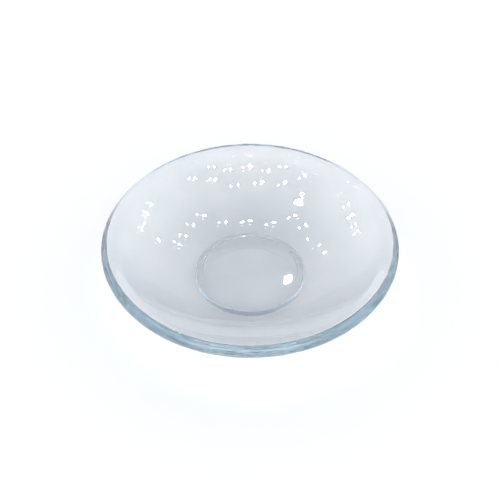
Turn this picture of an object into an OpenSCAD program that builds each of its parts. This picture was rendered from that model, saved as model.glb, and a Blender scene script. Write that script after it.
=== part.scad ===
// Footed watch glass: a shallow spherical dish pressed in one piece of clear glass.
// The glass is one continuous body. It is divided here at its moulded features, and the
// divisions meet face to face with nothing between them.
// Origin: centre of the resting face of the foot. +Z is up, along the axis of revolution.
// All sizes are in millimetres.

/* [Bowl] */
// Outside diameter over the rim
outer_diameter = 100; // [97:0.5:103]
// Height from the resting face to the top of the rim
overall_height = 20.8; // [20:0.1:22]
// Thickness of the bowl wall
wall_thickness = 2.9; // [2.6:0.1:3.2]
// Slope of the wall where it reaches the rim, in degrees from level
rim_slope = 37.5; // [36.5:0.5:38]

/* [Rim] */
// Thickness of the glass at the rim
rim_thickness = 4.1; // [3.6:0.1:4.6]
// Length of wall along which the glass thickens towards the rim
rim_length = 6; // [5:0.5:8]
// Radius of the small rounded lip on the inside of the end face
lip_radius = 0.5; // [0.4:0.1:0.8]
// Radius of the rounded edge on the outside of the end face
edge_radius = 1; // [0.8:0.1:1.4]

/* [Base] */
// Diameter of the flat inner floor
floor_diameter = 32.4; // [28:0.2:34]
// Depth that the floor lies below the wall around it
floor_step = 0.35; // [0.2:0.05:0.5]
// Diameter of the foot
foot_diameter = 37.8; // [36:0.2:40]
// Radius of the rounded heel where the foot meets the table
heel_radius = 0.3; // [0.2:0.1:0.6]
// Radius of the hollow curve between the foot and the underside of the bowl
neck_radius = 0.5; // [0.4:0.1:1]

/* [Hidden] */
$fn = 180;
glass_colour = [0.76, 0.84, 0.88, 0.45];
clearance = 1;
// Depth to which an outline is sunk into the one that it runs into, so that the two cross cleanly
sink = 0.002;

// The end face of the rim stands square to the wall. The middle of the face is at (rim_r, rim_z),
// and the two circles that round its corners touch it from below.
along_wall = [cos(rim_slope), sin(rim_slope)];
across_wall = [-sin(rim_slope), cos(rim_slope)];
lip_shift = across_wall * (rim_thickness / 2 - lip_radius) - along_wall * lip_radius;
edge_shift = across_wall * (edge_radius - rim_thickness / 2) - along_wall * edge_radius;
rim_r = outer_diameter / 2 - edge_radius - edge_shift[0];
rim_z = overall_height - lip_radius - lip_shift[1];
lip_centre = [rim_r, rim_z] + lip_shift;
edge_centre = [rim_r, rim_z] + edge_shift;

// The wall lies between two spheres that share the centre (0, sphere_z).
sphere_mid_r = rim_r / sin(rim_slope);
sphere_z = rim_z + sphere_mid_r * cos(rim_slope);
inner_sphere_r = sphere_mid_r - wall_thickness / 2;
outer_sphere_r = sphere_mid_r + wall_thickness / 2;
wedge_reach = 2 * outer_sphere_r;

// The floor lies one step below the circle where the inner sphere ends.
floor_r = floor_diameter / 2;
wall_start_z = sphere_z - sqrt(pow(inner_sphere_r, 2) - pow(floor_r, 2));
floor_z = wall_start_z - floor_step;

// The neck is an arc that runs from the side of the foot into the outer sphere.
foot_r = foot_diameter / 2;
neck_r = foot_r + neck_radius;
neck_reach = outer_sphere_r + neck_radius - sink;
neck_z = sphere_z - sqrt(pow(neck_reach, 2) - pow(neck_r, 2));
neck_slope = asin(neck_r / neck_reach);

// The foot ends at the level where its neck begins.
foot_top = neck_z;

// The glass begins to thicken on a cone around the common centre of the spheres.
rim_cone_angle = rim_slope - atan(rim_length / sphere_mid_r);

// Point at this slope on a circle around the common centre of the spheres
function on_circle(radius, slope) = [radius * sin(slope), sphere_z - radius * cos(slope)];

// Point where a line from this start touches a circle, on its left (turn -1) or right (turn 1)
function touch_point(start, centre, radius, turn) =
    let(
        reach = centre - start,
        distance = norm(reach),
        heading = atan2(reach[1], reach[0]) - turn * asin(radius / distance)
    )
    start + sqrt(pow(distance, 2) - pow(radius, 2)) * [cos(heading), sin(heading)];

// Wedge of the half-plane between the axis and a line from the spheres' centre
module wedge(angle) {
    polygon([
        [0, sphere_z],
        [0, sphere_z - wedge_reach],
        [wedge_reach * sin(angle), sphere_z - wedge_reach * cos(angle)]
    ]);
}

// Spherical shell from the axis to the start of the rim
module shell_section() {
    intersection() {
        difference() {
            translate([0, sphere_z]) circle(outer_sphere_r);
            translate([0, sphere_z]) circle(inner_sphere_r);
        }
        wedge(rim_cone_angle);
    }
}

// End of the wall: it thickens along straight flanks up to the end face with its rounded corners
module rim_section() {
    inside_start = on_circle(inner_sphere_r, rim_cone_angle);
    outside_start = on_circle(outer_sphere_r, rim_cone_angle);
    polygon([
        inside_start,
        outside_start,
        touch_point(outside_start, edge_centre, edge_radius - sink, 1),
        edge_centre,
        edge_centre + along_wall * (edge_radius - sink),
        lip_centre + along_wall * (lip_radius - sink),
        lip_centre,
        touch_point(inside_start, lip_centre, lip_radius - sink, -1)
    ]);
    translate(lip_centre) circle(lip_radius);
    translate(edge_centre) circle(edge_radius);
}

// Upright disc of the foot, up to the level of its neck, with its heel rounded
module foot_section() {
    square([foot_r - heel_radius, foot_top]);
    translate([0, heel_radius]) square([foot_r, foot_top - heel_radius]);
    translate([foot_r - heel_radius, heel_radius]) circle(heel_radius);
}

// Hollow curve that joins the foot to the shell
module neck_section() {
    difference() {
        polygon([
            [floor_r - clearance, 0],
            [neck_r, 0],
            [neck_r, neck_z],
            on_circle(outer_sphere_r + wall_thickness / 2, neck_slope),
            on_circle(outer_sphere_r - wall_thickness / 2, neck_slope),
            [floor_r - clearance, floor_z]
        ]);
        translate([neck_r, neck_z]) circle(neck_radius);
    }
}

// Thickened end of the wall around the mouth
module rim() {
    color(glass_colour) rotate_extrude() rim_section();
}

// Curved wall from the floor to the rim
module bowl_wall() {
    color(glass_colour) rotate_extrude() difference() {
        union() {
            shell_section();
            neck_section();
        }
        square([floor_r, overall_height]);
        square([neck_r + clearance, foot_top]);
    }
}

// Flat thick centre that carries the contents
module floor_disc() {
    color(glass_colour) translate([0, 0, foot_top])
        cylinder(h = floor_z - foot_top, r = floor_r);
}

// Disc that the dish stands on
module foot() {
    color(glass_colour) rotate_extrude() foot_section();
}

rim();
bowl_wall();
floor_disc();
foot();
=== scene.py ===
"""Looks of the footed watch glass: one shallow dish of clear pressed glass on a pale table.

The rim, wall, floor and foot are one continuous piece of glass, so one closed mesh shows all
four CAD solids. Between separate solids of clear glass the dividing faces would show as
mirrors that the real dish does not have.
Lengths are in metres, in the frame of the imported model: +Z up, origin under the foot's centre.
"""

import math

import bpy
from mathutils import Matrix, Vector, noise


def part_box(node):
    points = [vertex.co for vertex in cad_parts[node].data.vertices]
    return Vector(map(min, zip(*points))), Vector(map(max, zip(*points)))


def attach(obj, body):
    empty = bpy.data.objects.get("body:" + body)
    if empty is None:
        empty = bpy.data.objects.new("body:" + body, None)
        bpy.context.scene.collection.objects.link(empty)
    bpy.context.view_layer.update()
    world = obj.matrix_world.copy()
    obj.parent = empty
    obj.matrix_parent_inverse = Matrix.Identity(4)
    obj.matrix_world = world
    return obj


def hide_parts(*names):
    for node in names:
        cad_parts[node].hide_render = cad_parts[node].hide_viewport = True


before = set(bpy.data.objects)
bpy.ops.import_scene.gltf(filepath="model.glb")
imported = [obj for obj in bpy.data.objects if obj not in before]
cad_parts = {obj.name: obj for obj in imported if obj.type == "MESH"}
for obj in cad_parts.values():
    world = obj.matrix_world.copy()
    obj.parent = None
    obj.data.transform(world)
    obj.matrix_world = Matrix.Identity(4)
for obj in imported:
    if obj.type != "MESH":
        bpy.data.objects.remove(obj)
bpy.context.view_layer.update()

MM = 0.001

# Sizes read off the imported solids
MOUTH_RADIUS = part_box("rim")[1][0]
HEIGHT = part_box("rim")[1][2]
FLOOR_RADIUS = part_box("floor_disc")[1][0]
FLOOR_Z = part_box("floor_disc")[1][2]
FOOT_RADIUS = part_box("foot")[1][0]

# Sizes of the moulded details, the same as in the design
WALL = 2.9 * MM
RIM_THICKNESS = 4.1 * MM
LIP_RADIUS = 0.5 * MM
EDGE_RADIUS = 1.0 * MM
RIM_SLOPE = math.radians(37.5)
RIM_SWELL = math.radians(5.0)
HEEL_RADIUS = 0.3 * MM
NECK_RADIUS = 0.5 * MM
STEP_CORNER = 0.12 * MM

# Resolution of the lathe: faces around the axis, and steps along each part of the outline
SECTORS = 360
WALL_STEPS = 75
FLAT_STEPS = 14
FACE_STEPS = 16

# The end face of the rim stands square to the wall. Seen in the cross-section, it runs from a
# small rounded lip on the inside to a larger rounded edge on the outside.
ALONG_WALL = Vector((math.cos(RIM_SLOPE), math.sin(RIM_SLOPE)))
ACROSS_WALL = Vector((-math.sin(RIM_SLOPE), math.cos(RIM_SLOPE)))
LIP_SHIFT = ACROSS_WALL * (RIM_THICKNESS / 2 - LIP_RADIUS) - ALONG_WALL * LIP_RADIUS
EDGE_SHIFT = ACROSS_WALL * (EDGE_RADIUS - RIM_THICKNESS / 2) - ALONG_WALL * EDGE_RADIUS
RIM_R = MOUTH_RADIUS - EDGE_RADIUS - EDGE_SHIFT.x
RIM_Z = HEIGHT - LIP_RADIUS - LIP_SHIFT.y
LIP_CENTRE = Vector((RIM_R, RIM_Z)) + LIP_SHIFT
EDGE_CENTRE = Vector((RIM_R, RIM_Z)) + EDGE_SHIFT

# The wall lies between two spheres with a common centre on the axis.
MID_RADIUS = RIM_R / math.sin(RIM_SLOPE)
SPHERE_Z = RIM_Z + MID_RADIUS * math.cos(RIM_SLOPE)

# Lighting: the ceiling's height, the sky's strength, and the panel and lamps in the ceiling
CEILING = 2.6
ROOM_LIGHT = 1.28
PANEL_DIAMETER = 14.0
PANEL_POWER = 280.0
LAMP_LENGTH = 0.058
LAMP_WIDTH = 0.034
LAMP_POWER = 1.5

# Colour of the room at the sine of each height above the horizon
SKY_BANDS = (
    (0.12, (0.35, 0.36, 0.40)),
    (0.34, (0.84, 0.85, 0.88)),
    (0.50, (1.14, 1.15, 1.18)),
    (0.80, (1.14, 1.15, 1.18)),
    (0.92, (0.50, 0.51, 0.54)),
)

# Camera: how far the eye is from the dish, in mouth radii, and how steeply it looks down
EYE_DISTANCE = 10.0
EYE_ELEVATION = math.radians(45.3)
MOUTH_SHARE_OF_VIEW = 0.592
AIM = Vector((0.0, 0.0, 15.1 * MM))


def arc(centre_r, centre_z, radius, start, end, steps):
    """Points along an arc in the cross-section, with angles in radians from level."""
    points = []
    for i in range(steps + 1):
        angle = start + (end - start) * i / steps
        points.append((centre_r + radius * math.cos(angle), centre_z + radius * math.sin(angle)))
    return points


def smooth_step(value, low, high):
    """Eases from 0 at the low end to 1 at the high end."""
    share = min(max((value - low) / (high - low), 0.0), 1.0)
    return share * share * (3.0 - 2.0 * share)


def half_thickness(slope):
    """Half the glass thickness where the wall has this slope: it swells towards the rim."""
    swell = smooth_step(slope, RIM_SLOPE - RIM_SWELL, RIM_SLOPE)
    return WALL / 2 + (RIM_THICKNESS - WALL) / 2 * swell


def wall_points(side, slope_from, slope_to, steps):
    """Points on the inside (side -1) or the outside (side +1) of the spherical wall."""
    points = []
    for i in range(steps + 1):
        slope = slope_from + (slope_to - slope_from) * i / steps
        radius = MID_RADIUS + side * half_thickness(slope)
        points.append((radius * math.sin(slope), SPHERE_Z - radius * math.cos(slope)))
    return points


def floor_points():
    """Flat floor from the axis, and the low riser at its edge that leads up to the wall."""
    inner_radius = MID_RADIUS - WALL / 2
    wall_r = FLOOR_RADIUS + STEP_CORNER
    slope = math.asin(wall_r / inner_radius)
    corner_z = SPHERE_Z - inner_radius * math.cos(slope) - STEP_CORNER
    flat_end = FLOOR_RADIUS - STEP_CORNER
    flat = [(flat_end * i / FLAT_STEPS, FLOOR_Z) for i in range(FLAT_STEPS)]
    turn_up = arc(flat_end, FLOOR_Z + STEP_CORNER, STEP_CORNER, -math.pi / 2, 0.0, 5)
    turn_out = arc(wall_r, corner_z, STEP_CORNER, math.pi, math.pi / 2 + slope, 5)
    return flat + turn_up + turn_out, slope


def rim_points():
    """End face of the wall from its inner lip to its outer edge."""
    inside = math.pi / 2 + RIM_SLOPE
    lip = arc(LIP_CENTRE.x, LIP_CENTRE.y, LIP_RADIUS, inside, RIM_SLOPE, 12)
    edge = arc(EDGE_CENTRE.x, EDGE_CENTRE.y, EDGE_RADIUS, RIM_SLOPE, RIM_SLOPE - math.pi / 2, 18)
    face = []
    for i in range(1, FACE_STEPS):
        point = Vector(lip[-1]).lerp(Vector(edge[0]), i / FACE_STEPS)
        face.append((point.x, point.y))
    return lip + face + edge


def neck_points():
    """Hollow curve from the outside of the wall to the side of the foot."""
    outer_radius = MID_RADIUS + WALL / 2
    neck_r = FOOT_RADIUS + NECK_RADIUS
    neck_z = SPHERE_Z - math.sqrt((outer_radius + NECK_RADIUS) ** 2 - neck_r ** 2)
    slope = math.atan2(neck_r, SPHERE_Z - neck_z)
    return arc(neck_r, neck_z, NECK_RADIUS, math.pi / 2 + slope, math.pi, 16), slope


def foot_points(top):
    """Side of the foot below this height, rounded heel and flat resting face in to the axis."""
    side = [(FOOT_RADIUS, top + (HEEL_RADIUS - top) * i / 8) for i in range(1, 8)]
    heel_r = FOOT_RADIUS - HEEL_RADIUS
    heel = arc(heel_r, HEEL_RADIUS, HEEL_RADIUS, 0.0, -math.pi / 2, 12)
    flat = [(heel_r * (1 - i / FLAT_STEPS), 0.0) for i in range(1, FLAT_STEPS + 1)]
    return side + heel + flat


def cross_section():
    """Outline of the glass from the middle of the floor over the rim to the middle of the foot."""
    floor, floor_slope = floor_points()
    neck, neck_slope = neck_points()
    inside = wall_points(-1, floor_slope, RIM_SLOPE - LIP_RADIUS / MID_RADIUS, WALL_STEPS)
    outside = wall_points(1, RIM_SLOPE - EDGE_RADIUS / MID_RADIUS, neck_slope, WALL_STEPS)
    return floor + inside[1:-1] + rim_points() + outside[1:] + neck[1:] + foot_points(neck[-1][1])


def section_normals(outline):
    """Unit normals of the outline, pointing out of the glass."""
    normals = []
    last = len(outline) - 1
    for i in range(len(outline)):
        before = outline[max(i - 1, 0)]
        after = outline[min(i + 1, last)]
        along = Vector((after[0] - before[0], after[1] - before[1])).normalized()
        normals.append((-along.y, along.x))
    return normals


def moulding_ripple(point, radius):
    """How far the pressed surface stands off its true shape at this place."""
    away_from_axis = smooth_step(radius, 0.5 * MM, 6 * MM)
    broad = noise.noise(point * (1 / (14 * MM))) * 0.020 * MM
    middle = noise.noise(point * (1 / (5 * MM)) + Vector((7.0, 1.0, 3.0))) * 0.004 * MM
    return away_from_axis * (broad + middle) + rim_streaks(point, radius)


def rim_streaks(point, radius):
    """Fine ridges on the fire-polished rim, long around the mouth and narrow across it."""
    at_rim = smooth_step(radius, 47.2 * MM, 48.0 * MM)
    if at_rim == 0.0:
        return 0.0
    turn = math.atan2(point.y, point.x)
    across = (point.z - 1.3 * (radius - MOUTH_RADIUS)) / (0.6 * MM)
    ring_x = math.cos(turn)
    ring_y = math.sin(turn)
    ridge = noise.noise(Vector((ring_x * 11.0, ring_y * 11.0, across)))
    patch = noise.noise(Vector((ring_x * 26.0, ring_y * 26.0, across * 0.5 + 9.0)))
    return at_rim * (ridge * 0.06 + patch * 0.06) * MM


def lathe(name, outline):
    """Turns an outline that starts and ends on the axis into one closed mesh."""
    normals = section_normals(outline)
    vertices = []
    rings = []
    for (radius, height), (out_r, out_z) in zip(outline, normals):
        if radius < 1e-7:
            rings.append([len(vertices)])
            vertices.append((0.0, 0.0, height))
            continue
        first = len(vertices)
        for k in range(SECTORS):
            turn = 2 * math.pi * k / SECTORS
            side = Vector((math.cos(turn), math.sin(turn), 0.0))
            point = side * radius + Vector((0.0, 0.0, height))
            outward = side * out_r + Vector((0.0, 0.0, out_z))
            resting = height < 0.2 * MM
            lift = 0.0 if resting else moulding_ripple(point, radius)
            vertices.append(point + outward * lift)
        rings.append(list(range(first, first + SECTORS)))
    faces = []
    for ring, following in zip(rings, rings[1:]):
        for k in range(SECTORS):
            n = (k + 1) % SECTORS
            if len(ring) == 1:
                faces.append((ring[0], following[k], following[n]))
            elif len(following) == 1:
                faces.append((ring[k], following[0], ring[n]))
            else:
                faces.append((ring[k], following[k], following[n], ring[n]))
    mesh = bpy.data.meshes.new(name)
    mesh.from_pydata(vertices, [], faces)
    mesh.polygons.foreach_set("use_smooth", [True] * len(mesh.polygons))
    mesh.update()
    piece = bpy.data.objects.new(name, mesh)
    bpy.context.scene.collection.objects.link(piece)
    return piece


def add_noise(tree, scale, detail):
    """Noise that is fixed to the glass, with its scale in lumps per metre."""
    place = tree.nodes.new("ShaderNodeTexCoord")
    texture = tree.nodes.new("ShaderNodeTexNoise")
    texture.inputs["Scale"].default_value = scale
    texture.inputs["Detail"].default_value = detail
    tree.links.new(place.outputs["Object"], texture.inputs["Vector"])
    return texture.outputs["Fac"]


def add_cast(tree, shader):
    """Faint change of tint over the surface, from a cool grey to a warmer one."""
    tints = tree.nodes.new("ShaderNodeValToRGB")
    tints.color_ramp.elements[0].position = 0.35
    tints.color_ramp.elements[0].color = (0.815, 0.842, 0.857, 1.0)
    tints.color_ramp.elements[1].position = 0.65
    tints.color_ramp.elements[1].color = (0.870, 0.878, 0.894, 1.0)
    tree.links.new(add_noise(tree, 85.0, 5.0), tints.inputs["Fac"])
    tree.links.new(tints.outputs["Color"], shader.inputs["Base Color"])


def add_haze(tree, shader):
    """Patches where handling has left the polish slightly dull."""
    haze = tree.nodes.new("ShaderNodeMapRange")
    haze.inputs["From Min"].default_value = 0.5
    haze.inputs["From Max"].default_value = 0.8
    haze.inputs["To Min"].default_value = 0.0
    haze.inputs["To Max"].default_value = 0.05
    tree.links.new(add_noise(tree, 70.0, 4.0), haze.inputs["Value"])
    tree.links.new(haze.outputs["Result"], shader.inputs["Roughness"])


def add_grain(tree, shader):
    """Very shallow unevenness that the mould leaves in the surface."""
    bump = tree.nodes.new("ShaderNodeBump")
    bump.inputs["Strength"].default_value = 0.5
    bump.inputs["Distance"].default_value = 0.01 * MM
    tree.links.new(add_noise(tree, 420.0, 2.0), bump.inputs["Height"])
    tree.links.new(bump.outputs["Normal"], shader.inputs["Normal"])


def add_absorption(tree):
    """Blue-grey tint that builds up where light runs far inside the glass."""
    volume = tree.nodes.new("ShaderNodeVolumeAbsorption")
    volume.inputs["Color"].default_value = (0.70, 0.770, 0.805, 1.0)
    volume.inputs["Density"].default_value = 38.0
    tree.links.new(volume.outputs["Volume"], tree.nodes["Material Output"].inputs["Volume"])


def glass_material():
    """Clear soda-lime glass: pale where it is thin, blue-grey where light runs far inside it."""
    material = bpy.data.materials.new("clear_glass")
    material.use_nodes = True
    tree = material.node_tree
    shader = tree.nodes["Principled BSDF"]
    shader.inputs["Transmission Weight"].default_value = 1.0
    shader.inputs["IOR"].default_value = 1.52
    add_absorption(tree)
    add_cast(tree, shader)
    add_haze(tree, shader)
    add_grain(tree, shader)
    return material


def make_dish():
    """The whole glass as one piece, in place of the four solids of the design."""
    dish = lathe("watch_glass_body", cross_section())
    dish.data.materials.append(glass_material())
    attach(dish, "root")
    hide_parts("rim", "bowl_wall", "floor_disc", "foot")


def table_material():
    """Matt off-white."""
    material = bpy.data.materials.new("pale_table")
    material.use_nodes = True
    shader = material.node_tree.nodes["Principled BSDF"]
    shader.inputs["Base Color"].default_value = (0.90, 0.905, 0.915, 1.0)
    shader.inputs["Roughness"].default_value = 0.9
    shader.inputs["Specular IOR Level"].default_value = 0.0
    return material


def make_floor():
    """Pale table top, a hair below the foot so that the two do not share a plane."""
    half = 3.0
    mesh = bpy.data.meshes.new("table")
    corners = [(-half, -half, 0.0), (half, -half, 0.0), (half, half, 0.0), (-half, half, 0.0)]
    mesh.from_pydata(corners, [], [(0, 1, 2, 3)])
    mesh.materials.append(table_material())
    table = bpy.data.objects.new("table", mesh)
    table.location.z = -0.02 * MM
    bpy.context.scene.collection.objects.link(table)


def make_sky():
    """Soft room light from a pale band below the ceiling, dim along the horizon and overhead."""
    world = bpy.data.worlds.new("room")
    bpy.context.scene.world = world
    world.use_nodes = True
    nodes = world.node_tree.nodes
    links = world.node_tree.links
    where = nodes.new("ShaderNodeTexCoord")
    split = nodes.new("ShaderNodeSeparateXYZ")
    ramp = nodes.new("ShaderNodeValToRGB")
    links.new(where.outputs["Generated"], split.inputs[0])
    links.new(split.outputs["Z"], ramp.inputs["Fac"])
    links.new(ramp.outputs["Color"], nodes["Background"].inputs["Color"])
    nodes["Background"].inputs["Strength"].default_value = ROOM_LIGHT
    stops = ramp.color_ramp.elements
    stops[0].position = 0.0
    stops[0].color = (0.10, 0.11, 0.15, 1.0)
    stops[1].position = 1.0
    stops[1].color = (0.40, 0.40, 0.44, 1.0)
    for height, colour in SKY_BANDS:
        stop = stops.new(height)
        stop.color = (*colour, 1.0)


def add_lamp(name, shape, size, power, place, bounces):
    """An area lamp in the ceiling that faces straight down and that matt surfaces do not see."""
    light = bpy.data.lights.new(name, "AREA")
    light.shape = shape
    light.size = size
    light.energy = power
    light.cycles.max_bounces = bounces
    lamp = bpy.data.objects.new(name, light)
    lamp.location = place
    lamp.visible_diffuse = False
    bpy.context.scene.collection.objects.link(lamp)
    return lamp


def single_spots():
    """Across, along and size of the lamps that stand alone, in ceiling heights."""
    large = [(-0.37, 0.12, 3.0), (-0.40, 0.06, 1.4)]
    far = [(0.80, 0.84, 1.5), (-0.62, 0.90, 1.5)]
    over_floor = [(0.042, 0.945, 0.26)]
    return large + far + over_floor


def row_spots():
    """Lamps in three rows across the room."""
    spots = []
    for row, count, pitch in ((-0.24, 5, 0.15), (-0.11, 6, 0.18), (0.25, 5, 0.17)):
        for i in range(count):
            across = (i - (count - 1) / 2) * pitch
            spots.append((across, row + 0.03 * (i % 2), 0.9 + 0.15 * (i % 3)))
    return spots


def side_spots():
    """Lamps in a long and a short column down each side of the room."""
    spots = []
    for side in (-1, 1):
        for i in range(5):
            spots.append((side * (0.82 + 0.05 * i), 0.20 + 0.17 * i, 0.9 + 0.3 * (i % 3)))
        for i in range(3):
            spots.append((side * (0.42 + 0.07 * i), 0.38 + 0.17 * i, 1.1 - 0.3 * (i % 2)))
    return spots


def make_ceiling_lamps():
    """Small oval ceiling lamps, which the glass mirrors as scattered points of light."""
    paired = row_spots() + side_spots()
    twins = [(across + 0.055, along + 0.01, size * 0.7) for across, along, size in paired]
    for across, along, size in single_spots() + paired + twins:
        place = (across * CEILING, along * CEILING, CEILING)
        power = LAMP_POWER * size * size
        lamp = add_lamp("ceiling_lamp", "ELLIPSE", LAMP_LENGTH * size, power, place, 3)
        lamp.data.size_y = LAMP_WIDTH * size


def make_panel():
    """A wide soft panel seen only through the glass, so that the table under it is not dim."""
    place = (0.0, 0.0, CEILING)
    panel = add_lamp("panel", "DISK", PANEL_DIAMETER, PANEL_POWER, place, 12)
    panel.visible_glossy = False


def make_camera():
    """Looks down at the dish from the front, with the mouth a fixed share of the frame wide."""
    view_back = Vector((0.0, -math.cos(EYE_ELEVATION), math.sin(EYE_ELEVATION)))
    distance = EYE_DISTANCE * MOUTH_RADIUS
    data = bpy.data.cameras.new("camera")
    camera = bpy.data.objects.new("camera", data)
    bpy.context.scene.collection.objects.link(camera)
    camera.location = AIM + view_back * distance
    camera.rotation_euler = (math.pi / 2 - EYE_ELEVATION, 0.0, 0.0)
    data.sensor_width = 36.0
    data.lens = data.sensor_width * MOUTH_SHARE_OF_VIEW * distance / (2 * MOUTH_RADIUS)
    data.clip_start = 0.01
    bpy.context.scene.camera = camera


def let_light_through_glass():
    """Enough bounces for light that is piped along inside the wall to find its way out."""
    cycles = bpy.context.scene.cycles
    cycles.max_bounces = 40
    cycles.transmission_bounces = 40
    cycles.glossy_bounces = 24
    bpy.context.scene.view_settings.view_transform = "Standard"


make_dish()
make_floor()
make_sky()
make_ceiling_lamps()
make_panel()
make_camera()
let_light_through_glass()
